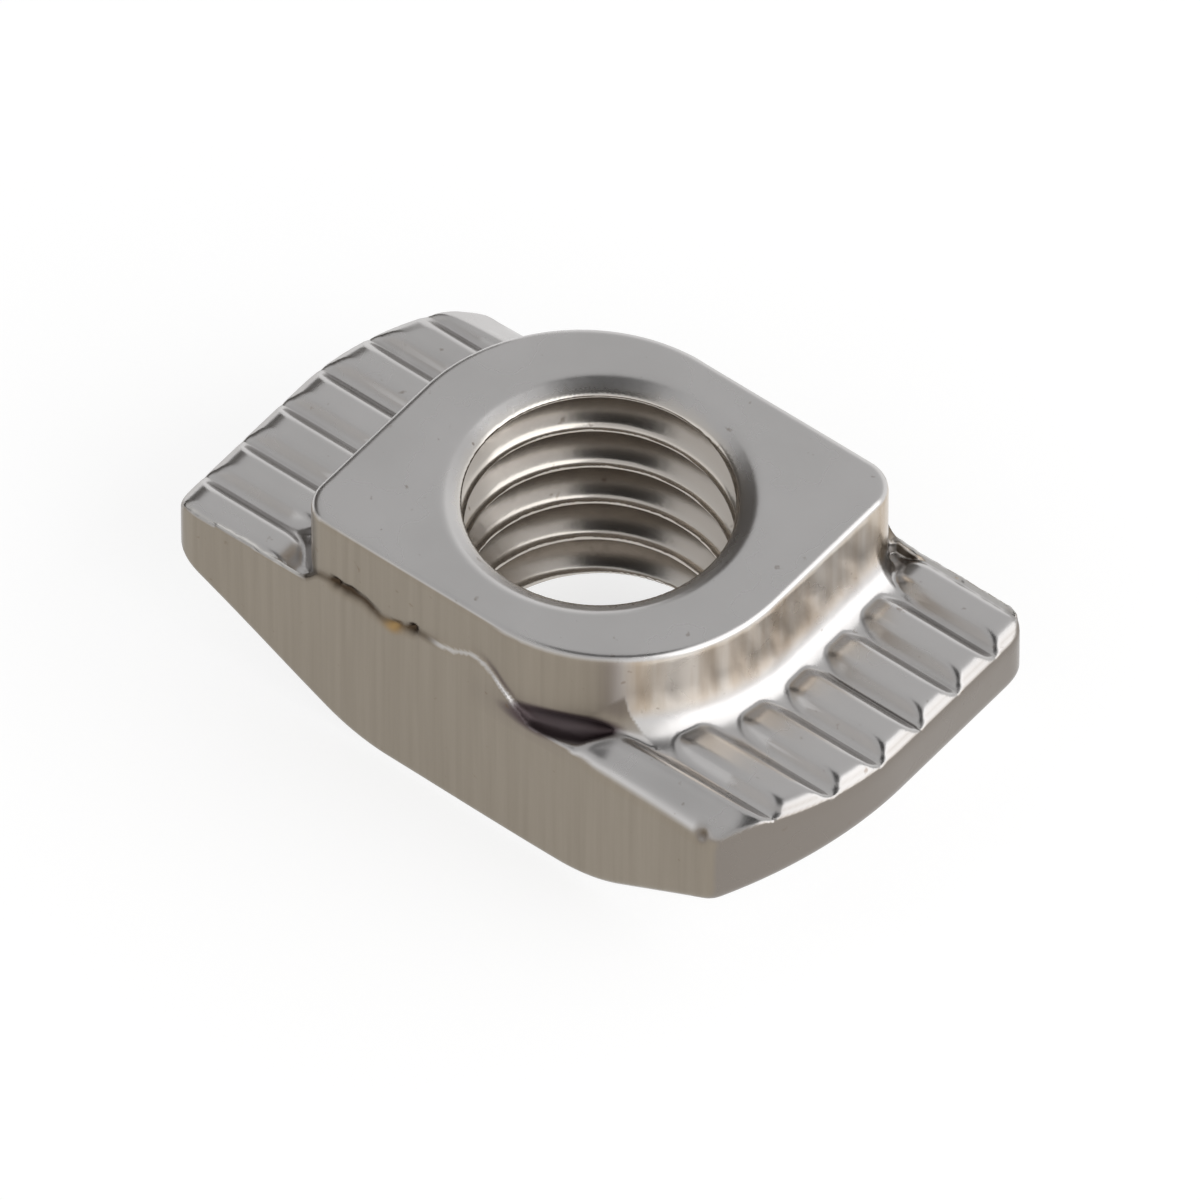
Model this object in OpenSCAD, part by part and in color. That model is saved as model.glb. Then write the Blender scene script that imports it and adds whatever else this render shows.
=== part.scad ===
// Drop-in t-nut for a slotted profile, in one piece.
// It is slid or dropped into the slot lengthways and turned a quarter clockwise by its screw,
// so two opposite corners of the head and of the boss are rounded to clear the slot as it turns.
// Millimetres. +X runs along the head, +Z along the hole towards the boss, and Z = 0 is the flat bottom.

/* [Head] */
// Length of the head, across the slot when the nut is turned
head_length = 11.2; // [10:0.1:12]
// Width of the whole nut, which drops between the slot's lips
nut_width = 6.0; // [6.0, 6.6]
// Height of the shoulders, measured at the crests of their ridges
shoulder_height = 2.95; // [2.6:0.05:3.3]
// Height at which each bevel meets the upright end
end_foot = 1.8; // [1.3:0.05:2.1]
// Length of the flat bottom between the bevels
flat_length = 4.4; // [4:0.1:6]
// Radius that softens the change from the flat bottom to each bevel
bevel_blend = 2.4; // [0.6:0.1:2.8]
// Radius that softens the change from each bevel to the upright end
end_blend = 0.35; // [0.1:0.05:0.5]
// Radius over which the ridges' crests drop to the upright end
crest_blend = 0.35; // [0.1:0.05:0.4]
// Radius of the arc that runs from the middle of each end round the turning corner
head_turn = 4.4; // [4, 4.4]
// Radius of the two corners of the head that meet the slot's walls
stop_corner = 0.35; // [0.1:0.05:0.6]
// Radius that rolls the lower edges of the two cut sides
side_roll = 0.15; // [0.1:0.05:0.4]

/* [Boss] */
// Length of the boss, along the head
boss_length = 6.6; // [6:0.1:7]
// Width of the boss, which turns between the slot's lips
boss_width = 5.9; // [5.5:0.05:5.95]
// Height of the whole nut, from the flat bottom to the top of the boss
nut_height = 4.4; // [4.1:0.1:5]
// Radius of the two turning corners of the boss
boss_turn = 2.9; // [1.5:0.1:2.9]
// Radius of the other two corners of the boss
boss_corner = 0.6; // [0.2:0.05:0.9]
// Radius of the fillet from the boss's ends down to the shoulders
boss_root = 0.65; // [0.2:0.05:0.8]
// Radius that rounds the edge of the boss's top
boss_edge = 0.12; // [0.05:0.01:0.2]

/* [Shoulder ridges] */
// Number of ridges across the width of each shoulder
ridge_count = 7; // [5:1:9]
// Distance from the crest of one ridge to the next
ridge_pitch = 0.88; // [0.84:0.01:0.92]
// Width of the blunt crest of each ridge
ridge_crest = 0.4; // [0.06:0.02:0.5]
// Width of the flat floor between two ridges
ridge_valley = 0.06; // [0.04:0.02:0.2]
// Height of the ridges over that floor
ridge_depth = 0.22; // [0.16:0.02:0.4]
// Distance from the boss to the tips of the ridges, at the level of their floor
ridge_clear = 0.1; // [0.1:0.05:0.6]
// Length of each ridge's nose, which comes up out of the boss's fillet and widens in a curve
ridge_nose = 0.5; // [0.4:0.1:1.2]

/* [Hole] */
// Diameter of the hole at the crests of its M5 x 0.8 thread
bore_diameter = 4.14; // [4.1:0.02:4.34]
// Diameter of the countersink at the boss's top
top_countersink = 4.6; // [4.4:0.1:5.4]
// Diameter of the countersink in the flat bottom
bottom_countersink = 5.0; // [4.4:0.1:5.4]
// Angle between the walls of both countersinks
countersink_angle = 120; // [60:5:130]

/* [Hidden] */
$fn = 96;
half_length = head_length / 2;
half_width = nut_width / 2;
half_flat = flat_length / 2;
bevel_run = half_length - half_flat;
bevel_angle = atan2(end_foot, bevel_run);
bevel_size = norm([bevel_run, end_foot]);
// Centre of the arc round the head's turning corner on the +X side, and the angle that it turns through
arc_x = half_length - head_turn;
arc_angle = asin(half_width / head_turn);
groove_floor = shoulder_height - ridge_depth;
// Sideways run of a ridge's flank from its crest down to the floor
flank_run = (ridge_pitch - ridge_valley - ridge_crest) / 2;
// Each nose is part of the rim of a wheel with the ridge's section, which dips into the floor
nose_wheel = (ridge_nose * ridge_nose + ridge_depth * ridge_depth) / 2 / ridge_depth;
nose_angle = acos(1 - ridge_depth / nose_wheel);
// What a ridge's section, its nose and the arc's waste reach past the face that they end at
ridge_grip = 0.08;
nose_grip = 3;
arc_grip = 3;
// Centre of the boss's turning corner on the +X side
turn_x = boss_length / 2 - boss_turn;
turn_y = boss_turn - boss_width / 2;
// Centre of the boss's other corner on the +X side
stop_x = boss_length / 2 - boss_corner;
stop_y = boss_width / 2 - boss_corner;
// Depth to which the fillet reaches into the boss and the head, to join them
root_grip = 0.08;
// Distance by which a piece of waste runs past the surface that it is taken from
over = 0.5;

// What a radius takes off a square corner that lies at the origin, with the material at -X and -Y
module corner_waste(radius) {
    difference() {
        translate([-radius, -radius]) square(radius + over);
        translate([-radius, -radius]) circle(r = radius);
    }
}

// What a radius takes off a blunt corner at the origin: one edge comes in along +X,
// the next leaves it turned to the left, and the material is on the left of both
module blunt_waste(radius, turn) {
    reach = radius * tan(turn / 2);
    difference() {
        polygon([[-reach, -over], [-reach, 0], [reach * cos(turn), reach * sin(turn)],
                 [reach * cos(turn) + over * sin(turn), reach * sin(turn) - over * cos(turn)],
                 [over * sin(turn / 2), -over * cos(turn / 2)]]);
        translate([-reach, radius]) circle(r = radius);
    }
}

// Half of the head's section on the +X side, from the hole's axis to the upright end
module half_section() {
    difference() {
        polygon([[-over, 0], [half_flat, 0], [half_length, end_foot],
                 [half_length, shoulder_height], [-over, shoulder_height]]);
        translate([half_flat, 0]) blunt_waste(bevel_blend, bevel_angle);
        translate([half_length, end_foot]) rotate(bevel_angle) blunt_waste(end_blend, 90 - bevel_angle);
        translate([half_length, shoulder_height]) corner_waste(crest_blend);
    }
}

// The head seen from above: two corners are swept by a wide arc, two are nearly sharp
module head_outline() {
    difference() {
        intersection() {
            square([head_length, nut_width], center = true);
            for (turn = [0, 180]) rotate(turn) {
                translate([arc_x, 0]) circle(r = head_turn);
                square([head_length, nut_width]);
            }
        }
        for (turn = [0, 180]) rotate(turn) translate([half_length, half_width]) corner_waste(stop_corner);
    }
}

// The boss seen from above, with the same two corners rounded
module boss_outline() {
    difference() {
        square([boss_length, boss_width], center = true);
        for (turn = [0, 180]) rotate(turn) {
            translate([boss_length / 2, boss_width / 2]) corner_waste(boss_corner);
            translate([boss_length / 2, -boss_width / 2]) mirror([0, 1]) corner_waste(boss_turn);
        }
    }
}

// A length of some section laid along Y, centred
module across(size) {
    translate([0, size / 2, 0]) rotate([90, 0, 0]) linear_extrude(size) children();
}

// Waste of the rolled edge along one straight stretch of a lower edge, from the origin along +X
module roll_waste(size) {
    rotate([90, 0, 90]) translate([0, 0, -over])
        linear_extrude(size + 2 * over) mirror([0, 1]) corner_waste(side_roll);
}

// Waste of the rolled lower edges of both cut sides: along the flat, and up both bevels
module side_roll_waste() {
    for (turn = [0, 180]) rotate(turn) translate([0, half_width, 0]) {
        translate([-half_flat, 0, 0]) roll_waste(flat_length);
        for (end = [0, 1]) mirror([end, 0, 0])
            translate([half_flat, 0, 0]) rotate([0, -bevel_angle, 0]) roll_waste(bevel_size);
    }
}

// Section of a ridge, with its crest at height 0, carried on a little below the floor
module ridge_section() {
    low = ridge_depth + ridge_grip;
    reach = ridge_crest / 2 + flank_run * low / ridge_depth;
    polygon([[-reach, -low], [reach, -low], [ridge_crest / 2, 0], [-ridge_crest / 2, 0]]);
}

// One ridge of the +X shoulder, whose nose starts at tip_x on the floor
module ridge(tip_x) {
    translate([tip_x + ridge_nose, 0, shoulder_height]) {
        rotate([90, 0, 90]) linear_extrude(half_length) ridge_section();
        translate([0, 0, -nose_wheel]) rotate([90, 0, 0]) rotate(90)
            rotate_extrude(angle = nose_angle + nose_grip)
                translate([nose_wheel, 0]) rotate(-90) ridge_section();
    }
}

// Distance along the head at which the nose of the ridge at side_y starts: the tips
// follow the boss's end and its turning corner
function tip_at(side_y) = side_y > turn_y ? boss_length / 2 + ridge_clear
    : turn_x + sqrt(pow(boss_turn + ridge_clear, 2) - pow(side_y - turn_y, 2));

// What is taken from the +X shoulder: all that lies over its floor round the boss, but the ridges
module shoulder_waste() {
    difference() {
        translate([0, 0, groove_floor]) linear_extrude(ridge_depth + over)
            polygon([[turn_x, -half_width - over], [half_length + over, -half_width - over],
                     [half_length + over, half_width + over], [stop_x, half_width + over],
                     [stop_x, 0], [turn_x, 0]]);
        for (step = [0 : ridge_count - 1]) {
            side_y = (step - (ridge_count - 1) / 2) * ridge_pitch;
            if (abs(side_y) < half_width) translate([0, side_y, 0]) ridge(tip_at(side_y));
        }
    }
}

// What drops the ridges' crests along the +X shoulder's turning corner, as the section does at its end
module turn_waste() {
    translate([arc_x, 0, 0]) rotate(-arc_angle - arc_grip) rotate_extrude(angle = arc_angle + arc_grip)
        translate([head_turn, shoulder_height]) corner_waste(crest_blend);
}

// Head: the section laid across the width, cut to its outline, with both shoulders ridged
module head() {
    difference() {
        intersection() {
            for (turn = [0, 180]) rotate(turn) across(nut_width) half_section();
            linear_extrude(shoulder_height) head_outline();
        }
        for (turn = [0, 180]) rotate(turn) {
            shoulder_waste();
            turn_waste();
        }
        side_roll_waste();
    }
}

// Section of the concave fillet at the boss's foot, with the boss's wall on its left
module root_section() {
    difference() {
        translate([-root_grip, -root_grip]) square(boss_root + root_grip);
        translate([boss_root, boss_root]) circle(r = boss_root);
    }
}

// What rounds the edge of the boss's top, for the half of it at +X and +Y
module boss_edge_waste() {
    translate([boss_length / 2, (turn_y + stop_y) / 2, nut_height])
        across(stop_y - turn_y) corner_waste(boss_edge);
    rotate(90) translate([boss_width / 2, (turn_x - stop_x) / 2, nut_height])
        across(stop_x + turn_x) corner_waste(boss_edge);
    translate([turn_x, turn_y, nut_height]) rotate(-90) rotate_extrude(angle = 90)
        translate([boss_turn, 0]) corner_waste(boss_edge);
    translate([stop_x, stop_y, nut_height]) rotate_extrude(angle = 90)
        translate([boss_corner, 0]) corner_waste(boss_edge);
}

// Boss, with the fillet along its ends and round its corners
module boss() {
    difference() {
        translate([0, 0, groove_floor - over])
            linear_extrude(nut_height - groove_floor + over) boss_outline();
        for (turn = [0, 180]) rotate(turn) boss_edge_waste();
    }
    intersection() {
        for (turn = [0, 180]) rotate(turn) translate([0, 0, groove_floor]) {
            translate([boss_length / 2, (turn_y + stop_y) / 2, 0]) across(stop_y - turn_y) root_section();
            translate([turn_x, turn_y, 0]) rotate(-90) rotate_extrude(angle = 90)
                translate([boss_turn, 0]) root_section();
            translate([stop_x, stop_y, 0]) rotate_extrude(angle = 90)
                translate([boss_corner, 0]) root_section();
        }
        linear_extrude(nut_height) head_outline();
    }
}

// Waste of a countersink that opens downwards at height 0
module countersink_waste(diameter) {
    widening = 2 * tan(countersink_angle / 2);
    translate([0, 0, -over])
        cylinder(h = (diameter - bore_diameter) / widening + over,
                 d1 = diameter + over * widening, d2 = bore_diameter);
}

// Hole through the nut, with a countersink at each mouth
module hole_waste() {
    translate([0, 0, -over]) cylinder(h = nut_height + 2 * over, d = bore_diameter);
    countersink_waste(bottom_countersink);
    translate([0, 0, nut_height]) mirror([0, 0, 1]) countersink_waste(top_countersink);
}

// The whole nut, cold formed and cut from one piece of steel, nickel plated
module nut_body() {
    color("#A9A6A0") difference() {
        union() {
            head();
            boss();
        }
        hole_waste();
    }
}

nut_body();
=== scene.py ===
"""Looks of the drop-in t-nut: nickel plate over cold-formed steel, on a pale floor in soft studio light.

The nut's skin is one mesh. It is worked out from a signed distance in millimetres, so that the
thread's helix, the sheared sides with their burrs, the ridges' curved noses and the worn edges
are all real shape. It stands for the plain solid, inside the same box.
"""

import math

import bpy
import numpy as np
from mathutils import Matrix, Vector


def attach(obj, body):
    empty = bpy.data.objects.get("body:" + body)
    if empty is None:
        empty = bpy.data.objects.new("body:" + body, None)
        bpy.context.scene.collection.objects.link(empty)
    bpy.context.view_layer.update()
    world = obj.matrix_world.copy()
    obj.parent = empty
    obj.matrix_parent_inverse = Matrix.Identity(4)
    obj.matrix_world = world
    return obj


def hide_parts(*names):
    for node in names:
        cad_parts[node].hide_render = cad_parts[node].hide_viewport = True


MM = 0.001

# Head, in millimetres, as in the part's source
HALF_LENGTH = 5.6
HALF_WIDTH = 3.0
END_FOOT = 1.8
HALF_FLAT = 2.2
BEVEL_BLEND = 2.4
END_BLEND = 0.35
HEAD_TURN = 4.4
STOP_CORNER = 0.35
SIDE_ROLL = 0.15
BEVEL_ANGLE = math.atan2(END_FOOT, HALF_LENGTH - HALF_FLAT)

# Boss
HALF_BOSS = 3.3
HALF_BOSS_WIDTH = 2.95
NUT_HEIGHT = 4.4
BOSS_TURN = 2.9
BOSS_CORNER = 0.6
BOSS_ROOT = 0.65
BOSS_EDGE = 0.12
TURN_X = HALF_BOSS - BOSS_TURN
TURN_Y = BOSS_TURN - HALF_BOSS_WIDTH

# Shoulders
CREST_HEIGHT = 2.95
RIDGES_EACH_SIDE = 3
RIDGE_PITCH = 0.88
RIDGE_CREST = 0.4
RIDGE_VALLEY = 0.06
RIDGE_DEPTH = 0.22
RIDGE_CLEAR = 0.1
RIDGE_NOSE = 0.5
CREST_BLEND = 0.35
RIDGE_BLEND = 0.08
PITCH_SWAY = 0.02
NOSE_SWAY = 0.05
CREST_SWAY = 0.008
GROOVE_FLOOR = CREST_HEIGHT - RIDGE_DEPTH
FLANK_RUN = (RIDGE_PITCH - RIDGE_VALLEY - RIDGE_CREST) / 2
NOSE_WHEEL = (RIDGE_NOSE ** 2 + RIDGE_DEPTH ** 2) / 2 / RIDGE_DEPTH

# Hole with its M5 x 0.8 thread, right handed
CREST_RADIUS = 1.96
ROOT_RADIUS = 2.46
THREAD_PITCH = 0.8
THREAD_ROOT_FLAT = 0.1
THREAD_HALF_ANGLE = math.radians(30)
TOP_SINK_RADIUS = 2.3
BOTTOM_SINK_RADIUS = 2.48
SINK_SLOPE = math.tan(math.radians(60))
THREAD_BLEND = 0.10
THREAD_FADE = (-0.55, 0.4, 0.5)
TOP_SINK_BLEND = 0.06
BOTTOM_SINK_BLEND = 0.03
MOUTH_BLEND = 0.045

# Blends and wear
EDGE_WEAR = 0.07
SHARP_BLEND = 0.05
TURN_CORNER_WEAR = 0.10
ROOT_TAPER = 1.9
ROOT_CLEAR = 0.25
EDGE_CHANGE = 0.3

# Sheared sides: a step has a start, run and height, a wave or nick has a middle, reach and height or share
SIDE_STEP = 0.05
STEP_RISE = 0.16
STEP_SPREAD = 0.14
STEP_BROADEST = (-0.1, 0.5)
STEP_START = (-3.2, 0.4)
STEP_STOP = (0.1, 0.9)
SIDE_OFFSET = 0.006
SIDE_WANDER = (0.010, 0.006)
TEAR_DEPTH = 0.12
TEAR_REACH = 0.09
LIP_WIDTH = 0.10
LIP_BLEND = 0.08
GAP_WIDTH = 0.25
GAP_START = (-3.2, 0.2)
BRIM_DROP = 0.02
BRIM_STEPS = ((-3.15, 0.35, 0.31), (0.2, 1.2, -0.60))
BRIM_WAVES = ((0.05, 0.4, 0.26), (-1.6, 0.35, -0.18))
BRIM_RIPPLE = 0.035
BRIM_FALL = 0.6
BRIM_STOP = (0.9, 1.1)
END_CLEAR = 0.05
END_SLOPE = 0.2
END_SPAN = (-0.5, 0.5)
SIDE_ZONE = HALF_WIDTH - 0.3
OCHRE = -1.42
NICKS = ((-2.55, 0.09, 0.9), (-2.30, 0.15, 0.8), (-1.95, 0.25, 0.4), (OCHRE, 0.14, 0.6), (-1.12, 0.09, 1.0))
FAR_NICKS = (1.15, 0.5)
END_NICK = (4.2, 0.07, 0.6)
END_NICK_HEIGHT = (2.48, 0.09)

# The rolled edge of a turned shoulder, and the pocket at the boss's foot
ROLLED_EDGE = 2.57
ROLL_SLOPE = 0.7
ROLL_FALL = 0.05
ROLL_MIDDLE = 1.8
ROLL_START = (0.9, 1.1)
ROLL_SIDE = (0.0, -0.5)
ROLL_CLEAR = 0.3
ROLL_WEAR = 0.15
ROLL_BLEND = 0.12
POCKET_BLEND = 0.12
POCKET_PLACE = 1.15
POCKET_OFF_WALL = 0.03
POCKET_OFF_FLOOR = 0.10
POCKET_REACH = (0.60, 0.14, 0.16)

# What each point of the skin tells the material
MARKS = ("threaded", "sheared", "punched", "drawn", "turned", "stained_and_shaded", "ochre", "shaded", "hollow", "worn_and_highlight")

# Where each mark comes in: start and run, or middle and reach, in millimetres or as a part of the slope
SIDE_SLOPE = (0.80, 0.14)
SIDE_PLACE = (HALF_WIDTH - 0.20, 0.08)
WALL_IN_PLAN = (0.74, 0.09)
WALL_SLOPE = (0.2, 0.6)
WALL_FOOT = (CREST_HEIGHT - 0.05, 0.1)
FOOT_PLACE = (HALF_WIDTH - 0.17, 0.04)
FOOT_TOP = (NUT_HEIGHT - 0.3, -0.1)
FOOT_BOTTOM = (CREST_HEIGHT - 0.35, 0.1)
BOSS_START = (-HALF_BOSS, 0.3)
BOSS_STOP = (-0.9, 0.4)
PUNCHED_SLOPE = (0.90, -0.45)
PUNCHED_END = (HALF_LENGTH - 1.6, 0.1)
DRAWN_SLOPE = (0.5, -0.3)
DRAWN_FOOT = (CREST_HEIGHT + 0.05, 0.2)
FACED_SLOPE = (0.96, 0.03)
FACED_TOP = (NUT_HEIGHT - 0.10, 0.05)
THREAD_TOP = (NUT_HEIGHT - 0.10, -0.08)
THREAD_FOOT = (0.18, 0.08)
HOLE_MOUTH = (BOTTOM_SINK_RADIUS + 0.08, 0.06)
BREAK_LINE = (0.0, 0.06)
OCHRE_PLACE = (OCHRE - 0.05, 0.15)
OCHRE_HEIGHT = (-0.06, 0.08)
RECESS_PLACE = (0.5, 0.28)
RECESS_HEIGHT = (0.10, 0.07)
POCKET_EDGE = (0.15, -0.12)
POCKET_HALO = 0.12
POCKET_DEPTH = 0.3
SEAM_ANGLE = (38, 5.0)
SEAM_SLOPE = (0.5, -0.2)
SEAM_FOOT = (CREST_HEIGHT + 0.05, 0.3)

# How strong the marks are
BREAK_STAIN_AND_SHADE = 0.6
TEAR_STAIN_AND_SHADE = 1.1
HALO_SHADE = 0.35
SEAM_SHADE = 0.4
RECESS_SHADE = 0.7
HOLLOW_AND_EDGE_REACHES = (0.08, 0.2, 0.4)

# Fineness of the skin, and how far round the sheared edges, turned walls and pockets it stays finest
GRID_STEP = 0.045
SKIN_MARGIN = 0.14
SLOPE_STEP = 0.012
SETTLE_STEP = 0.02
LEAST_STEEPNESS = 0.3
FINE_STRETCH = (-3.5, 1.7)
FINE_AT_BRIM = 0.3
FINE_AT_WALL = 0.1
FINE_WALL_SIDE = -1.9
FINE_WALL_FOOT = CREST_HEIGHT - 0.05
FINE_AT_POCKET = 0.5
FLAT_ENOUGH = math.cos(math.radians(4))
MOST_TRIANGLES = 186000

# Patterns of the surface: how many to the millimetre, how much detail, and how much finer along x, y and z
SHEAR_LINES = (2.2, 4.0, (4.0, 1.0, 0.12))
DRAWN_STREAKS = (2.6, 3.0, (1.0, 1.0, 0.1))
PLATE_CLOUD = (0.5, 4.0)
HOLLOW_GRIME_AND_SHADE = (1.6, 5.0)
RUST_SPECKS = (5.0, 2.0)
ORANGE_PEEL = (3.0, 2.0)
FACING_RINGS = 1.6

# Depth of the finest relief, in millimetres
PEEL_DEPTH = 0.003
SHEAR_LINE_DEPTH = 0.0025
RING_DEPTH = 0.0005

# Camera: azimuth and elevation, distance in metres, and width and middle of the picture in millimetres
CAMERA_DIRECTION = (38.5, 49.3)
CAMERA_DISTANCE = 0.64
PICTURE_WIDTH = 17.4
PICTURE_MIDDLE = 2.0

# Stage, in metres: each dark card has its width and height, colour, and azimuth, elevation and distance
FLOOR_WIDTH = 1.2
FLOOR_GLOW = 0.75
FLAGS = (("camera_flag", 0.50, 0.38, "#181513", (32, 70, 0.75)),
         ("left_flag", 0.40, 0.19, "#6E6A66", (262, 20, 0.30)))


def srgb(code):
    """Linear colour of an sRGB hex value."""
    parts = [int(code[i:i + 2], 16) / 255 for i in (1, 3, 5)]
    return [p / 12.92 if p <= 0.04045 else ((p + 0.055) / 1.055) ** 2.4 for p in parts] + [1.0]


def round_max(a, b, reach):
    """The larger of two distances, with the edge between them rounded over that reach."""
    near = np.maximum(reach - np.abs(a - b), 0.0)
    return np.maximum(a, b) + near * near / (4 * reach)


def round_min(a, b, reach):
    """The smaller of two distances, with the corner between them filled over that reach."""
    return -round_max(-a, -b, reach)


def edge_reach(radius, turn=math.pi / 2):
    """The reach that rounds an edge as a fillet of that radius does, where the faces turn by that angle."""
    return 2 * radius * math.tan(turn / 2) * math.sin(turn / 2)


def ease(t):
    """A smooth step from 0 to 1."""
    t = np.clip(t, 0.0, 1.0)
    return t * t * (3 - 2 * t)


def rise(t, start, run):
    """A smooth step from 0 at the start to 1 after that run, which may be below 0."""
    return ease((t - start) / run)


def hill(t, middle, reach):
    """A smooth hill, 1 at its middle."""
    return np.exp(-((t - middle) / reach) ** 2)


def ripple(t, seed):
    """Uneven wave along one direction, between about -1 and 1."""
    return (0.45 * np.sin(2.3 * t + 1.7 * seed) + 0.3 * np.sin(5.9 * t + 2.9 * seed)
            + 0.2 * np.sin(13.7 * t + 4.3 * seed) + 0.12 * np.sin(31.0 * t + 0.7 * seed))


def head_end(along, aside):
    """The upright end, which runs into an arc round the turning corner."""
    arc = np.hypot(np.maximum(along - HALF_LENGTH + HEAD_TURN, 0.0), aside) - HEAD_TURN
    return np.where(aside < 0, arc, along - HALF_LENGTH)


def brim_height(t, face):
    """Height of the upper edge of a sheared side, where t runs along the side and is more than 0 towards
    the turning corner. The edge is lifted at the foot of the boss, most of all at its middle, and falls
    off along the turning corner."""
    steps = sum(height * rise(t, start, run) for start, run, height in BRIM_STEPS)
    waves = sum(height * hill(t, middle, reach) for middle, reach, height in BRIM_WAVES)
    return CREST_HEIGHT - BRIM_DROP + steps + waves + BRIM_RIPPLE * ripple(0.9 * t, 3 + face)


def nick_place(t, face):
    """Place in the list of nicks: those of the far side lie closer together."""
    closer, shift = FAR_NICKS
    return np.where(face < 0, t, closer * t + shift)


def tears(x, y, z):
    """How much the shear tore the side: a few nicks along that edge, and one at the near side's end."""
    face = np.sign(y)
    t = -x * face
    place = nick_place(t, face)
    torn = sum(share * hill(place, middle, reach) for middle, reach, share in NICKS)
    middle, reach, share = END_NICK
    at_end = share * hill(t, middle, reach) * hill(z, *END_NICK_HEIGHT) * (face < 0)
    return torn * hill(z - brim_height(t, face), -BRIM_DROP, TEAR_REACH) + at_end


def sheared_side(x, y, z):
    """Both sheared sides: slightly wavy, with nicks and a soft step where the shear broke through."""
    face = np.sign(y)
    t = -x * face
    broad_wave, fine_wave = SIDE_WANDER
    wander = broad_wave * np.sin(0.9 * x + 2.0 * face) + fine_wave * np.sin(2.1 * z + 1.1 * x * face)
    near_boss = rise(t, *STEP_START) * (1 - rise(t, *STEP_STOP))
    step_rise = STEP_RISE + STEP_SPREAD * hill(t, *STEP_BROADEST)
    step = SIDE_STEP * near_boss * ease((z - brim_height(t, face)) / step_rise + 0.5)
    return np.abs(y) - HALF_WIDTH + SIDE_OFFSET + wander + step + TEAR_DEPTH * tears(x, y, z)


def underside(along, z):
    """The flat bottom and the bevel, blended."""
    bevel = (along - HALF_FLAT) * math.sin(BEVEL_ANGLE) - z * math.cos(BEVEL_ANGLE)
    return round_max(-z, bevel, edge_reach(BEVEL_BLEND, BEVEL_ANGLE))


def nose_tip(aside):
    """Distance along the head at which a ridge's nose starts, so that a strip follows the boss."""
    round_part = np.sqrt(np.maximum((BOSS_TURN + RIDGE_CLEAR) ** 2 - (aside - TURN_Y) ** 2, 0.0))
    return np.where(aside > TURN_Y, HALF_BOSS + RIDGE_CLEAR, TURN_X + round_part)


def ridges(along, aside, z, end, side):
    """The V ridges of a shoulder, no two quite alike, each with a nose that comes up out of the strip in
    a curve."""
    number = np.clip(np.round(aside / RIDGE_PITCH), -RIDGES_EACH_SIDE, RIDGES_EACH_SIDE)
    off_crest = np.abs(aside - number * RIDGE_PITCH - PITCH_SWAY * np.sin(7.1 * number + side))
    full = nose_tip(number * RIDGE_PITCH) + RIDGE_NOSE + NOSE_SWAY * np.sin(5.3 * number + 2.2 * side)
    height = z - CREST_HEIGHT - CREST_SWAY * np.sin(3.7 * number + 1.9 * side)
    rim = np.where(along >= full, height, np.hypot(full - along, height + NOSE_WHEEL) - NOSE_WHEEL)
    top = round_max(rim, end, edge_reach(CREST_BLEND))
    slope = FLANK_RUN / RIDGE_DEPTH
    flank = (off_crest - RIDGE_CREST / 2 + rim * slope) / math.hypot(1, slope)
    return round_max(top, flank, EDGE_WEAR)


def boss_plan(along, aside):
    """Outline of the boss: a rectangle with two turning corners and two small ones."""
    radius = np.where(aside < 0, BOSS_TURN, BOSS_CORNER)
    out_x = along - HALF_BOSS + radius
    out_y = np.abs(aside) - HALF_BOSS_WIDTH + radius
    outside = np.hypot(np.maximum(out_x, 0.0), np.maximum(out_y, 0.0))
    return outside + np.minimum(np.maximum(out_x, out_y), 0.0) - radius


def brim(x, y, z, end):
    """The steel that the shear left standing under that edge: a thin lip on the shoulder that is not
    turned, all of the gap to the boss's wall, and nothing on the shoulder whose edge is rolled."""
    face = np.sign(y)
    t = -x * face
    width = LIP_WIDTH + GAP_WIDTH * rise(t, *GAP_START)
    lip = round_max(z - brim_height(t, face), HALF_WIDTH - width - np.abs(y), LIP_BLEND)
    off_end = end + END_CLEAR + END_SLOPE * rise(end, *END_SPAN)
    return np.maximum(lip + BRIM_FALL * rise(t, *BRIM_STOP), off_end)


def pocket(along, aside, z):
    """The hollow at the boss's foot, between its turning corner and the edge of the sheared side."""
    length, width, height = POCKET_REACH
    out = (np.hypot(along - TURN_X, aside - TURN_Y) - BOSS_TURN - POCKET_OFF_WALL) / width
    up = (z - GROOVE_FLOOR - POCKET_OFF_FLOOR) / height
    hollow = width * (np.sqrt(out ** 2 + up ** 2 + ((along - TURN_X - POCKET_PLACE) / length) ** 2) - 1)
    return np.where(aside < 0, hollow, 1.0)


def thread_groove(x, y, z, radius):
    """The helical groove that the tap cut, with 60 degrees between its walls. It fades near the top."""
    lead = z / THREAD_PITCH - np.arctan2(y, x) / (2 * math.pi)
    from_middle = np.abs(lead - np.floor(lead) - 0.5) * THREAD_PITCH
    wall = from_middle - THREAD_ROOT_FLAT / 2 - (ROOT_RADIUS - radius) * math.tan(THREAD_HALF_ANGLE)
    start, run, depth = THREAD_FADE
    fade = depth * rise(z - NUT_HEIGHT, start, run)
    return round_max(radius - ROOT_RADIUS + fade, wall * math.cos(THREAD_HALF_ANGLE), THREAD_BLEND)


def hole(x, y, z):
    """The threaded hole with a countersink at each mouth."""
    radius = np.hypot(x, y)
    thread = round_min(radius - CREST_RADIUS, thread_groove(x, y, z, radius), THREAD_BLEND)
    top_sink = (radius - TOP_SINK_RADIUS + (NUT_HEIGHT - z) * SINK_SLOPE) / math.hypot(1, SINK_SLOPE)
    bottom_sink = (radius - BOTTOM_SINK_RADIUS + z * SINK_SLOPE) / math.hypot(1, SINK_SLOPE)
    return round_min(round_min(thread, top_sink, TOP_SINK_BLEND), bottom_sink, BOTTOM_SINK_BLEND)


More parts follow.
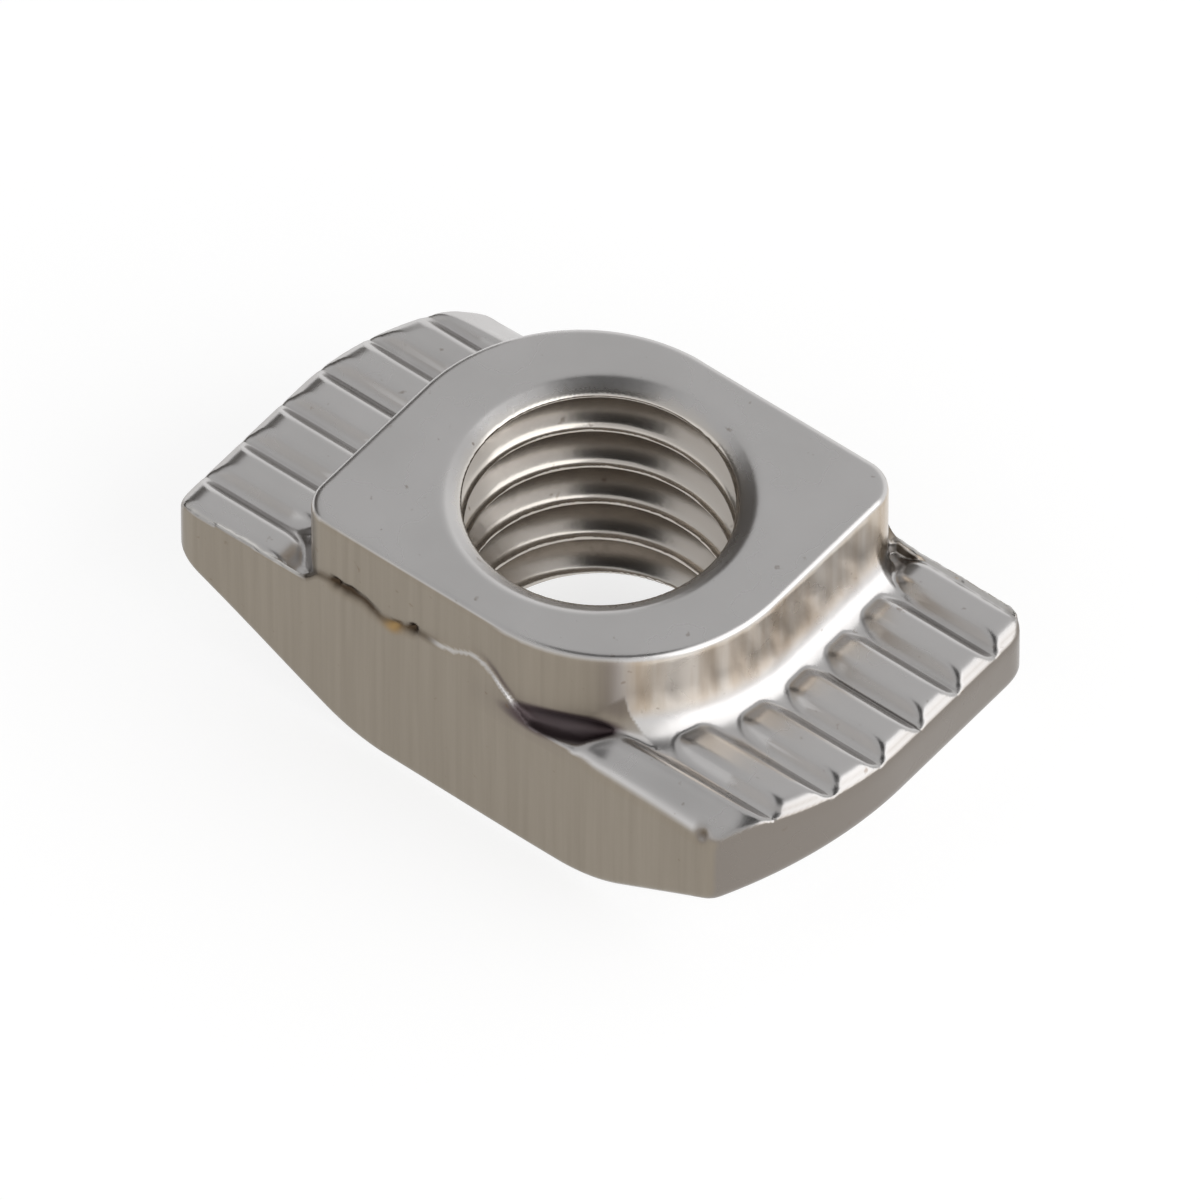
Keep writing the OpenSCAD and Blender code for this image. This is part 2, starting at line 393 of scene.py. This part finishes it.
def shoulder_roll(along, aside, y, z):
    """A slope that takes down the edge of a turned shoulder and lies clear of the steel elsewhere, and
    how much of it holds at each place."""
    rolled = rise(along - TURN_X, *ROLL_START) * rise(aside, *ROLL_SIDE)
    roll = (z - ROLLED_EDGE + ROLL_SLOPE * (np.abs(y) - HALF_WIDTH)) / math.hypot(1, ROLL_SLOPE)
    return roll - ROLL_CLEAR * (1 - rolled) + ROLL_FALL * (along - TURN_X - ROLL_MIDDLE) * rolled, rolled


def nut_distance(x, y, z):
    """Signed distance to the nut's skin, in millimetres, less than 0 inside the steel."""
    half = np.where(x < 0, -1.0, 1.0)
    along = np.abs(x)
    aside = y * half
    end = head_end(along, aside)
    side = sheared_side(x, y, z)
    corner = TURN_CORNER_WEAR + (edge_reach(STOP_CORNER) - TURN_CORNER_WEAR) * ease(aside)
    plan = round_max(end, side, corner)
    nearer_side = ease((side - end) / EDGE_CHANGE + 0.5)
    low_edge = edge_reach(END_BLEND, math.pi / 2 - BEVEL_ANGLE)
    low_edge = low_edge + (edge_reach(SIDE_ROLL) - low_edge) * nearer_side
    shell = round_max(underside(along, z), plan, low_edge)

    boss = round_max(boss_plan(along, aside), z - NUT_HEIGHT, edge_reach(BOSS_EDGE))
    root = np.clip(ROOT_TAPER * (HALF_WIDTH - ROOT_CLEAR - np.abs(y)), SHARP_BLEND, edge_reach(BOSS_ROOT))
    roll, rolled = shoulder_roll(along, aside, y, z)
    drop = round_max(z - CREST_HEIGHT, end, edge_reach(CREST_BLEND))
    grooves = round_max(z - GROOVE_FLOOR, drop, SHARP_BLEND)
    upper = round_min(round_max(grooves, roll, ROLL_BLEND), boss, root)
    crests = round_max(ridges(along, aside, z, end, half), roll, ROLL_BLEND)
    upper = round_min(upper, crests, RIDGE_BLEND)
    upper = round_min(upper, brim(x, y, z, end), SHARP_BLEND)
    upper = round_max(upper, -pocket(along, aside, z), POCKET_BLEND)
    steel = round_max(shell, upper, SHARP_BLEND + ROLL_WEAR * rolled * nearer_side)
    return round_max(steel, -hole(x, y, z), MOUTH_BLEND)


def nut_slope(p):
    """Direction in which the distance grows at each point, as unit vectors, and how fast it grows."""
    slope = np.empty_like(p)
    for axis in range(3):
        shift = np.zeros(3)
        shift[axis] = SLOPE_STEP
        ahead, behind = p + shift, p - shift
        slope[:, axis] = nut_distance(*ahead.T) - nut_distance(*behind.T)
    steepness = np.linalg.norm(slope, axis=1, keepdims=True)
    return slope / np.maximum(steepness, 1e-9), steepness[:, 0] / (2 * SLOPE_STEP)


def skin_grid():
    """The distance at every point of a grid that holds the nut."""
    low = np.array([-HALF_LENGTH, -HALF_WIDTH, 0.0]) - SKIN_MARGIN
    high = np.array([HALF_LENGTH, HALF_WIDTH, NUT_HEIGHT]) + SKIN_MARGIN
    counts = np.ceil((high - low) / GRID_STEP).astype(int) + 1
    axes = [low[i] + GRID_STEP * np.arange(counts[i]) for i in range(3)]
    field = np.empty(counts)
    for k, x in enumerate(axes[0]):
        y, z = np.meshgrid(axes[1], axes[2], indexing="ij")
        field[k] = nut_distance(np.full_like(y, x), y, z)
    return low, field


def net_points(low, field):
    """One point in each cell of the grid that the skin crosses, and the number of each cell's point."""
    corners = [(i, j, k) for i in (0, 1) for j in (0, 1) for k in (0, 1)]
    cells = np.array(field.shape) - 1

    def corner(array, offset):
        return array[offset[0]:offset[0] + cells[0], offset[1]:offset[1] + cells[1],
                     offset[2]:offset[2] + cells[2]]

    inside = field < 0
    filled = sum(corner(inside, c).astype(np.int8) for c in corners)
    crossed = (filled > 0) & (filled < 8)
    where = np.argwhere(crossed)
    number = np.full(cells, -1, dtype=np.int64)
    number[crossed] = np.arange(len(where))
    total = np.zeros((len(where), 3))
    count = np.zeros(len(where))
    for c in corners:
        for axis in range(3):
            if c[axis]:
                continue
            d = list(c)
            d[axis] = 1
            a = field[tuple((where + c).T)]
            b = field[tuple((where + d).T)]
            cut = (a < 0) != (b < 0)
            t = np.where(cut, a / np.where(cut, a - b, 1.0), 0.0)
            point = np.tile(np.array(c, float), (len(where), 1))
            point[:, axis] = t
            total[cut] += point[cut]
            count[cut] += 1
    return low + GRID_STEP * (where + total / count[:, None]), number


def net_faces(field, number):
    """Four-sided faces of the skin: one across each step of the grid that the skin crosses."""
    inside = field < 0
    faces = []
    for axis in range(3):
        u, v = (axis + 1) % 3, (axis + 2) % 3
        first = [slice(1, -1)] * 3
        first[axis] = slice(0, -1)
        second = list(first)
        second[axis] = slice(1, None)
        a, b = inside[tuple(first)], inside[tuple(second)]
        node = np.argwhere(a != b)
        leaves = a[tuple(node.T)]
        node[:, u] += 1
        node[:, v] += 1
        around = []
        for du, dv in ((-1, -1), (0, -1), (0, 0), (-1, 0)):
            cell = node.copy()
            cell[:, u] += du
            cell[:, v] += dv
            around.append(number[tuple(cell.T)])
        quad = np.stack(around, axis=1)
        faces.append(np.where(leaves[:, None], quad, quad[:, ::-1]))
    return np.concatenate(faces)


def settle(points, rounds=3):
    """Moves the points onto the skin, each by no more than half a grid step in all."""
    start = points.copy()
    for _ in range(rounds):
        slope, steepness = nut_slope(points)
        gap = nut_distance(*points.T) / np.maximum(steepness, LEAST_STEEPNESS)
        points = points - np.clip(gap, -SETTLE_STEP, SETTLE_STEP)[:, None] * slope
    move = points - start
    length = np.linalg.norm(move, axis=1, keepdims=True)
    return start + move * np.minimum(1.0, 0.5 * GRID_STEP / np.maximum(length, 1e-9))


def mesh_from(name, points, faces):
    """A mesh of these faces and points, which are given in millimetres."""
    mesh = bpy.data.meshes.new(name)
    mesh.vertices.add(len(points))
    mesh.vertices.foreach_set("co", (points * MM).astype(np.float32).ravel())
    mesh.loops.add(faces.size)
    mesh.loops.foreach_set("vertex_index", faces.astype(np.int32).ravel())
    mesh.polygons.add(len(faces))
    mesh.polygons.foreach_set("loop_start", np.arange(0, faces.size, faces.shape[1], dtype=np.int32))
    mesh.update(calc_edges=True)
    mesh.validate()
    return mesh


def bent(faces, slope):
    """Points of the faces on which the slope turns by more than 4 degrees from one point to another."""
    corners = slope[faces]
    bends = np.zeros(len(faces), dtype=bool)
    for i, j in ((0, 1), (1, 2), (2, 3), (3, 0), (0, 2), (1, 3)):
        bends |= (corners[:, i] * corners[:, j]).sum(1) < FLAT_ENOUGH
    at_bend = np.zeros(len(slope), dtype=bool)
    at_bend[faces[bends].ravel()] = True
    return at_bend


def marked(points):
    """Points where the colour changes: at the pockets, the turned walls and the sheared sides' edges."""
    x, y, z = points.T
    along, aside, t = np.abs(x), y * np.where(x < 0, -1.0, 1.0), -x * np.sign(y)
    at_brim = (np.abs(y) > SIDE_ZONE) & (np.abs(z - brim_height(t, np.sign(y))) < FINE_AT_BRIM)
    at_brim &= (t > FINE_STRETCH[0]) & (t < FINE_STRETCH[1])
    from_turn = np.abs(np.hypot(along - TURN_X, aside - TURN_Y) - BOSS_TURN)
    at_wall = (from_turn < FINE_AT_WALL) & (aside < FINE_WALL_SIDE) & (z > FINE_WALL_FOOT)
    return at_brim | at_wall | (pocket(along, aside, z) < FINE_AT_POCKET)


def thinned(obj, fine, most):
    """The object's mesh with no more than that many triangles, thinned only on its plain faces."""
    plain = obj.vertex_groups.new(name="plain")
    plain.add(np.flatnonzero(~fine).tolist(), 1.0, "REPLACE")
    triangles = sum(len(p.vertices) - 2 for p in obj.data.polygons)
    thin = obj.modifiers.new("thin", "DECIMATE")
    thin.ratio = min(1.0, most / triangles)
    thin.use_collapse_triangulate = True
    thin.vertex_group = plain.name
    graph = bpy.context.evaluated_depsgraph_get()
    mesh = bpy.data.meshes.new_from_object(obj.evaluated_get(graph))
    obj.modifiers.clear()
    obj.vertex_groups.clear()
    obj.data = mesh
    return mesh


def hollow_and_standing_out(points, slope):
    """How far each point lies in a hollow and how far it stands out, from 0 to 1."""
    hollow = np.zeros(len(points))
    worn_and_highlight = np.zeros(len(points))
    for reach in HOLLOW_AND_EDGE_REACHES:
        outside = nut_distance(*(points + reach * slope).T) / reach
        within = -nut_distance(*(points - reach * slope).T) / reach
        hollow += np.clip(1 - outside, 0, 1) / len(HOLLOW_AND_EDGE_REACHES)
        worn_and_highlight += np.clip(1 - within, 0, 1) / len(HOLLOW_AND_EDGE_REACHES)
    return hollow, worn_and_highlight


def sheared_share(x, y, z, slope, beside_boss):
    """The share of sheared steel: the sides, the boss's wall over them and what is left at its foot."""
    across = np.abs(slope[:, 1])
    on_side = rise(across, *SIDE_SLOPE) * rise(np.abs(y), *SIDE_PLACE)
    in_plan = across / np.maximum(np.hypot(slope[:, 0], slope[:, 1]), 0.05)
    upright = 1 - rise(slope[:, 2], *WALL_SLOPE)
    on_wall = rise(in_plan, *WALL_IN_PLAN) * upright * rise(z, *WALL_FOOT)
    foot = beside_boss * rise(np.abs(y), *FOOT_PLACE) * rise(z, *FOOT_TOP) * rise(z, *FOOT_BOTTOM)
    return np.maximum(np.maximum(on_side, on_wall), foot)


def shaded_share(along, aside, z, upright):
    """How much painted shade the pocket gets, with a softer halo round it, and the painted shade of the seam
    that runs up the turned wall over it.
    """
    from_pocket = pocket(along, aside, z)
    halo = HALO_SHADE * np.exp(-np.maximum(from_pocket, 0) / POCKET_HALO)
    shaded = np.maximum(rise(from_pocket, *POCKET_EDGE), halo)
    turn_angle = np.degrees(np.arctan2(along - TURN_X, TURN_Y - aside))
    seam = SEAM_SHADE * hill(turn_angle, *SEAM_ANGLE) * upright * rise(z, *SEAM_FOOT) * (aside < 0)
    return np.maximum(shaded, seam) * (z > GROOVE_FLOOR - POCKET_DEPTH)


def skin_marks(points, slope):
    """How each point was made, how much stain and painted shade it gets, and how far it lies in a hollow or
    stands out, each from 0 to 1.
    """
    x, y, z = points.T
    face = np.sign(y)
    t = -x * face
    along, aside = np.abs(x), y * np.where(x < 0, -1.0, 1.0)
    level = np.abs(slope[:, 2])
    off_hole = rise(np.hypot(x, y), *HOLE_MOUTH)
    beside_boss = rise(t, *BOSS_START) * (1 - rise(t, *BOSS_STOP))
    above = z - brim_height(t, face)
    at_side = np.abs(y) > SIDE_ZONE

    marks = {"threaded": (1 - off_hole) * rise(z, *THREAD_TOP) * rise(z, *THREAD_FOOT)}
    marks["sheared"] = sheared_share(x, y, z, slope, beside_boss) * off_hole
    marks["punched"] = rise(level, *PUNCHED_SLOPE) * rise(along, *PUNCHED_END)
    marks["drawn"] = rise(level, *DRAWN_SLOPE) * rise(z, *DRAWN_FOOT) * (1 - marks["sheared"]) * off_hole
    marks["turned"] = rise(slope[:, 2], *FACED_SLOPE) * rise(z, *FACED_TOP) * off_hole

    # Darker brown along the break line and in the nicks: partly stain, partly painted shade
    break_line = beside_boss * hill(above, *BREAK_LINE) * at_side
    stain_and_shade = BREAK_STAIN_AND_SHADE * break_line + TEAR_STAIN_AND_SHADE * tears(x, y, z)
    marks["stained_and_shaded"] = np.clip(stain_and_shade, 0, 1) * off_hole
    marks["ochre"] = hill(nick_place(t, face), *OCHRE_PLACE) * hill(above, *OCHRE_HEIGHT) * at_side
    # Painted shade in the recess behind the lip, over the brim
    recess = RECESS_SHADE * hill(t, *RECESS_PLACE) * hill(above, *RECESS_HEIGHT) * at_side
    in_pocket = shaded_share(along, aside, z, rise(level, *SEAM_SLOPE) * off_hole)
    marks["shaded"] = np.maximum(in_pocket, recess)

    marks["hollow"], marks["worn_and_highlight"] = hollow_and_standing_out(points, slope)
    marks["worn_and_highlight"] *= (1 - marks["sheared"]) * (1 - marks["punched"])
    return marks


def mark_skin(mesh):
    """Gives each point its true normal and its marks."""
    points = np.empty(len(mesh.vertices) * 3, dtype=np.float32)
    mesh.vertices.foreach_get("co", points)
    points = points.reshape(-1, 3).astype(float) / MM
    slope, _ = nut_slope(points)
    marks = skin_marks(points, slope)
    for name in MARKS:
        layer = mesh.attributes.new(name, "FLOAT", "POINT")
        layer.data.foreach_set("value", marks[name].astype(np.float32))
    mesh.polygons.foreach_set("use_smooth", np.ones(len(mesh.polygons), dtype=bool))
    mesh.normals_split_custom_set_from_vertices(slope.tolist())


def make_nut_skin():
    """The whole nut's skin as one piece."""
    low, field = skin_grid()
    points, number = net_points(low, field)
    points = settle(points)
    faces = net_faces(field, number)
    nut = bpy.data.objects.new("nut_skin", mesh_from("nut_skin", points, faces))
    bpy.context.scene.collection.objects.link(nut)
    fine = bent(faces, nut_slope(points)[0]) | marked(points)
    mark_skin(thinned(nut, fine, MOST_TRIANGLES))
    return nut


def add(tree, kind, links=None, **settings):
    """Adds a node. A link's key is the number or name of an input, its value a socket or what to set."""
    node = tree.nodes.new(kind)
    for name, value in settings.items():
        setattr(node, name, value)
    for key, value in (links or {}).items():
        if isinstance(value, bpy.types.NodeSocket):
            tree.links.new(value, node.inputs[key])
        else:
            node.inputs[key].default_value = value
    return node


def blank_material(name):
    """A material with no nodes yet, and its node tree."""
    material = bpy.data.materials.new(name)
    material.use_nodes = True
    material.node_tree.nodes.clear()
    return material, material.node_tree


def nickel_plate():
    """Bright nickel plate over cold-formed steel, barrel plated.

    The formed faces are smooth with a faint orange peel and blur what they mirror. The sheared
    sides are duller, warmer and lined from top to bottom. The sheared sides and the punched ends are
    also darkened as a painted reflection of the shaded floor, and the boss's turned wall is streaked
    and lightened as a painted reflection. Edges are lighter, partly rubbed wear and partly a painted
    highlight. The hollows are browner, partly grime and partly painted shade, and the break line and
    the nicks are darker brown, partly stain and partly painted shade. The pocket, the seam over it and
    the recess behind the lip get painted shade, and the threaded hole a slightly darker, warmer tone
    as painted shade. Real shear lines and streaks are too fine for the picture, so they are drawn as
    coarse as they need to be to show: about 0.11 and 0.4 mm apart.
    """
    material, tree = blank_material("nickel_plate_over_cold_formed_steel")
    place = add(tree, "ShaderNodeTexCoord").outputs["Object"]
    mm = add(tree, "ShaderNodeVectorMath", {0: place, 3: 1 / MM}, operation="SCALE").outputs[0]
    marks = {}
    for name in MARKS:
        marks[name] = add(tree, "ShaderNodeAttribute", attribute_name=name).outputs["Fac"]

    def multiply(a, b):
        return add(tree, "ShaderNodeMath", {0: a, 1: b}, operation="MULTIPLY").outputs[0]

    def spread(value, low, high, to_low=0.0, to_high=1.0):
        return add(tree, "ShaderNodeMapRange", {0: value, 1: low, 2: high, 3: to_low, 4: to_high}).outputs[0]

    def noise(per_mm, detail, squeeze=(1, 1, 1)):
        stretched = add(tree, "ShaderNodeVectorMath", {0: mm, 1: squeeze}, operation="MULTIPLY").outputs[0]
        links = {"Vector": stretched, "Scale": per_mm, "Detail": detail}
        return add(tree, "ShaderNodeTexNoise", links).outputs[0]

    def tint(amount, base, over):
        mix = add(tree, "ShaderNodeMix", {0: amount}, data_type="RGBA")
        for socket, value in ((mix.inputs[6], base), (mix.inputs[7], over)):
            if isinstance(value, str):
                socket.default_value = srgb(value)
            else:
                tree.links.new(value, socket)
        return mix.outputs[2]

    shear_lines = noise(*SHEAR_LINES)
    cloud = noise(*PLATE_CLOUD)
    grime_and_shade_noise = noise(*HOLLOW_GRIME_AND_SHADE)
    speck = noise(*RUST_SPECKS)
    colour = tint(spread(cloud, 0.35, 0.65), "#CBC9C8", "#C5C3C2")
    # The sheared sides darker and warmer: duller sheared steel, and a painted reflection of the shaded floor
    # beside the nut
    sheared_and_painted_reflection = tint(spread(shear_lines, 0.3, 0.75), "#938A7D", "#8E8578")
    # The punched ends darker: a painted reflection of the shaded floor that they mirror
    colour = tint(marks["punched"], colour, "#878079")
    colour = tint(marks["sheared"], colour, sheared_and_painted_reflection)
    # The boss's drawn wall streaked, and lightened as a painted reflection
    streaks = noise(*DRAWN_STREAKS)
    colour = tint(marks["drawn"], colour, tint(spread(streaks, 0.35, 0.65), "#DED7CE", "#BFB09E"))
    # The threaded hole a little darker and warmer: painted shade of the bore
    colour = tint(marks["threaded"], colour, "#C9C2BA")
    # Edges lighter: partly rubbed wear, partly a painted highlight
    colour = tint(multiply(spread(marks["worn_and_highlight"], 0.35, 0.75), 0.5), colour, "#DAD7D2")
    # The hollows browner: partly grime, partly painted shade
    grime_and_painted_shade = multiply(spread(marks["hollow"], 0.30, 0.80), spread(grime_and_shade_noise, 0.30, 0.62, 0.35, 1.0))
    colour = tint(multiply(grime_and_painted_shade, 0.9), colour, "#4A3E33")
    # Darker brown along the break line and in the nicks: partly stain, partly painted shade
    colour = tint(marks["stained_and_shaded"], colour, "#463A2E")
    colour = tint(marks["ochre"], colour, "#A0845A")
    # Painted shade: the pocket and its halo, the seam over it and the recess behind the lip
    colour = tint(multiply(marks["shaded"], 0.92), colour, "#54474A")
    colour = tint(multiply(spread(speck, 0.70, 0.78), 0.45), colour, "#6E573F")

    rough = spread(cloud, 0.3, 0.7, 0.24, 0.32)
    lined = spread(shear_lines, 0.3, 0.7, 0.38, 0.44)
    for mark, value in (("sheared", lined), ("threaded", 0.22), ("shaded", 0.6)):
        rough = add(tree, "ShaderNodeMix", {0: marks[mark], 2: rough, 3: value}).outputs[0]

    # Orange peel, then the shear's lines, then the faint rings of the faced boss
    wave = {"Vector": mm, "Scale": FACING_RINGS, "Distortion": 0.6, "Detail": 2.0, "Detail Scale": 2.0}
    rings = add(tree, "ShaderNodeTexWave", wave, wave_type="RINGS", rings_direction="Z").outputs["Fac"]
    relief = {}
    for depth, height in ((PEEL_DEPTH, noise(*ORANGE_PEEL)),
                          (SHEAR_LINE_DEPTH, multiply(shear_lines, marks["sheared"])),
                          (RING_DEPTH, multiply(rings, marks["turned"]))):
        links = {"Strength": 1.0, "Distance": depth * MM, "Height": height, **relief}
        relief = {"Normal": add(tree, "ShaderNodeBump", links).outputs[0]}
    surface = add(tree, "ShaderNodeBsdfPrincipled",
                  {"Base Color": colour, "Metallic": 1.0, "Roughness": rough, **relief})
    add(tree, "ShaderNodeOutputMaterial", {0: surface.outputs[0]})
    return material


def pale_floor():
    """Matt white paper, which stays white where the camera, metal or glass sees it but keeps the shadow."""
    material, tree = blank_material("matt_white_paper")
    rays = add(tree, "ShaderNodeLightPath").outputs
    seen = rays["Is Camera Ray"]
    for kind in ("Is Glossy Ray", "Is Transmission Ray"):
        seen = add(tree, "ShaderNodeMath", {0: seen, 1: rays[kind]}, operation="MAXIMUM").outputs[0]
    strength = add(tree, "ShaderNodeMath", {0: seen, 1: FLOOR_GLOW}, operation="MULTIPLY").outputs[0]
    paper = add(tree, "ShaderNodeBsdfDiffuse", {0: srgb("#A0A0A0")})
    glow = add(tree, "ShaderNodeEmission", {0: srgb("#FFFFFF"), 1: strength})
    both = add(tree, "ShaderNodeAddShader", {0: paper.outputs[0], 1: glow.outputs[0]})
    add(tree, "ShaderNodeOutputMaterial", {0: both.outputs[0]})
    return material


def dark_card(colour):
    """Matt dark card, which mirrors nothing."""
    material, tree = blank_material("matt_dark_card")
    card = add(tree, "ShaderNodeBsdfDiffuse", {0: srgb(colour)})
    add(tree, "ShaderNodeOutputMaterial", {0: card.outputs[0]})
    return material


def flat_sheet(name, width, height, material):
    """A flat sheet, level and centred under the nut until it is moved. Its sizes are in metres."""
    x, y = width / 2, height / 2
    mesh = bpy.data.meshes.new(name)
    mesh.from_pydata([(-x, -y, 0), (x, -y, 0), (x, y, 0), (-x, y, 0)], [], [(0, 1, 2, 3)])
    mesh.materials.append(material)
    sheet = bpy.data.objects.new(name, mesh)
    bpy.context.scene.collection.objects.link(sheet)
    return sheet


def make_floor():
    """A plain floor under the nut."""
    floor = flat_sheet("floor", FLOOR_WIDTH, FLOOR_WIDTH, pale_floor())


def direction(azimuth, elevation):
    """Unit vector from the nut: azimuth 0 is towards -Y and 90 towards +X, elevation above the floor."""
    a, e = math.radians(azimuth), math.radians(elevation)
    return Vector((math.sin(a) * math.cos(e), -math.cos(a) * math.cos(e), math.sin(e)))


def face_the_nut(holder, azimuth, elevation, distance):
    """Puts a lamp or card at that place, with its face towards the nut."""
    towards = direction(azimuth, elevation)
    holder.location = towards * distance
    holder.rotation_mode = "QUATERNION"
    holder.rotation_quaternion = towards.to_track_quat("Z", "Y")


def softbox(name, width, height, radiance, place):
    """A soft oblong lamp that faces the nut, with the brightness that its surface shows."""
    lamp = bpy.data.lights.new(name, "AREA")
    lamp.shape = "RECTANGLE"
    lamp.size = width
    lamp.size_y = height
    lamp.energy = radiance * math.pi * width * height
    holder = bpy.data.objects.new(name, lamp)
    face_the_nut(holder, *place)
    bpy.context.scene.collection.objects.link(holder)


def light_studio():
    """Even light all round, dimmer overhead, a soft lamp at the right and cards that the steel mirrors."""
    world = bpy.data.worlds.new("studio")
    bpy.context.scene.world = world
    world.use_nodes = True
    tree = world.node_tree
    tree.nodes.clear()
    towards = add(tree, "ShaderNodeTexCoord").outputs["Generated"]
    up = add(tree, "ShaderNodeSeparateXYZ", {0: towards}).outputs["Z"]
    fall = {0: up, 1: 0.30, 2: 0.65, 3: 1.0, 4: 0.62}
    level = add(tree, "ShaderNodeMapRange", fall, interpolation_type="SMOOTHSTEP").outputs[0]
    sky = add(tree, "ShaderNodeBackground", {0: srgb("#FFFFFF"), 1: level})
    add(tree, "ShaderNodeOutputWorld", {0: sky.outputs[0]})
    softbox("right_softbox", width=0.46, height=0.36, radiance=1.25, place=(96, 27, 0.36))
    for name, width, height, colour, place in FLAGS:
        card = flat_sheet(name, width, height, dark_card(colour))
        face_the_nut(card, *place)


def place_camera():
    """The photograph's direction on this nut, which fills most of the frame."""
    camera = bpy.data.cameras.new("camera")
    camera.sensor_width = 36
    camera.lens = camera.sensor_width * CAMERA_DISTANCE / (PICTURE_WIDTH * MM)
    camera.clip_start = 0.01
    camera.clip_end = 10
    holder = bpy.data.objects.new("camera", camera)
    back = direction(*CAMERA_DIRECTION)
    holder.location = Vector((0.0, 0.0, PICTURE_MIDDLE * MM)) + back * CAMERA_DISTANCE
    holder.rotation_mode = "QUATERNION"
    holder.rotation_quaternion = (-back).to_track_quat("-Z", "Y")
    bpy.context.scene.collection.objects.link(holder)
    bpy.context.scene.camera = holder


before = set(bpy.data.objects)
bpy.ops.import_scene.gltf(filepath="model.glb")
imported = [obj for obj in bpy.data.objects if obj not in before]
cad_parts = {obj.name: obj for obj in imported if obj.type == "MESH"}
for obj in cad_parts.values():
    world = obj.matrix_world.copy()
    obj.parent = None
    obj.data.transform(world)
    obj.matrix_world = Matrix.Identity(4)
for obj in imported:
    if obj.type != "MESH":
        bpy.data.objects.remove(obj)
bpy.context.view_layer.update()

nut_skin = make_nut_skin()
nut_skin.data.materials.clear()
nut_skin.data.materials.append(nickel_plate())
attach(nut_skin, "root")
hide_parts("nut_body")

make_floor()
light_studio()
place_camera()
bpy.context.scene.view_settings.view_transform = "Standard"
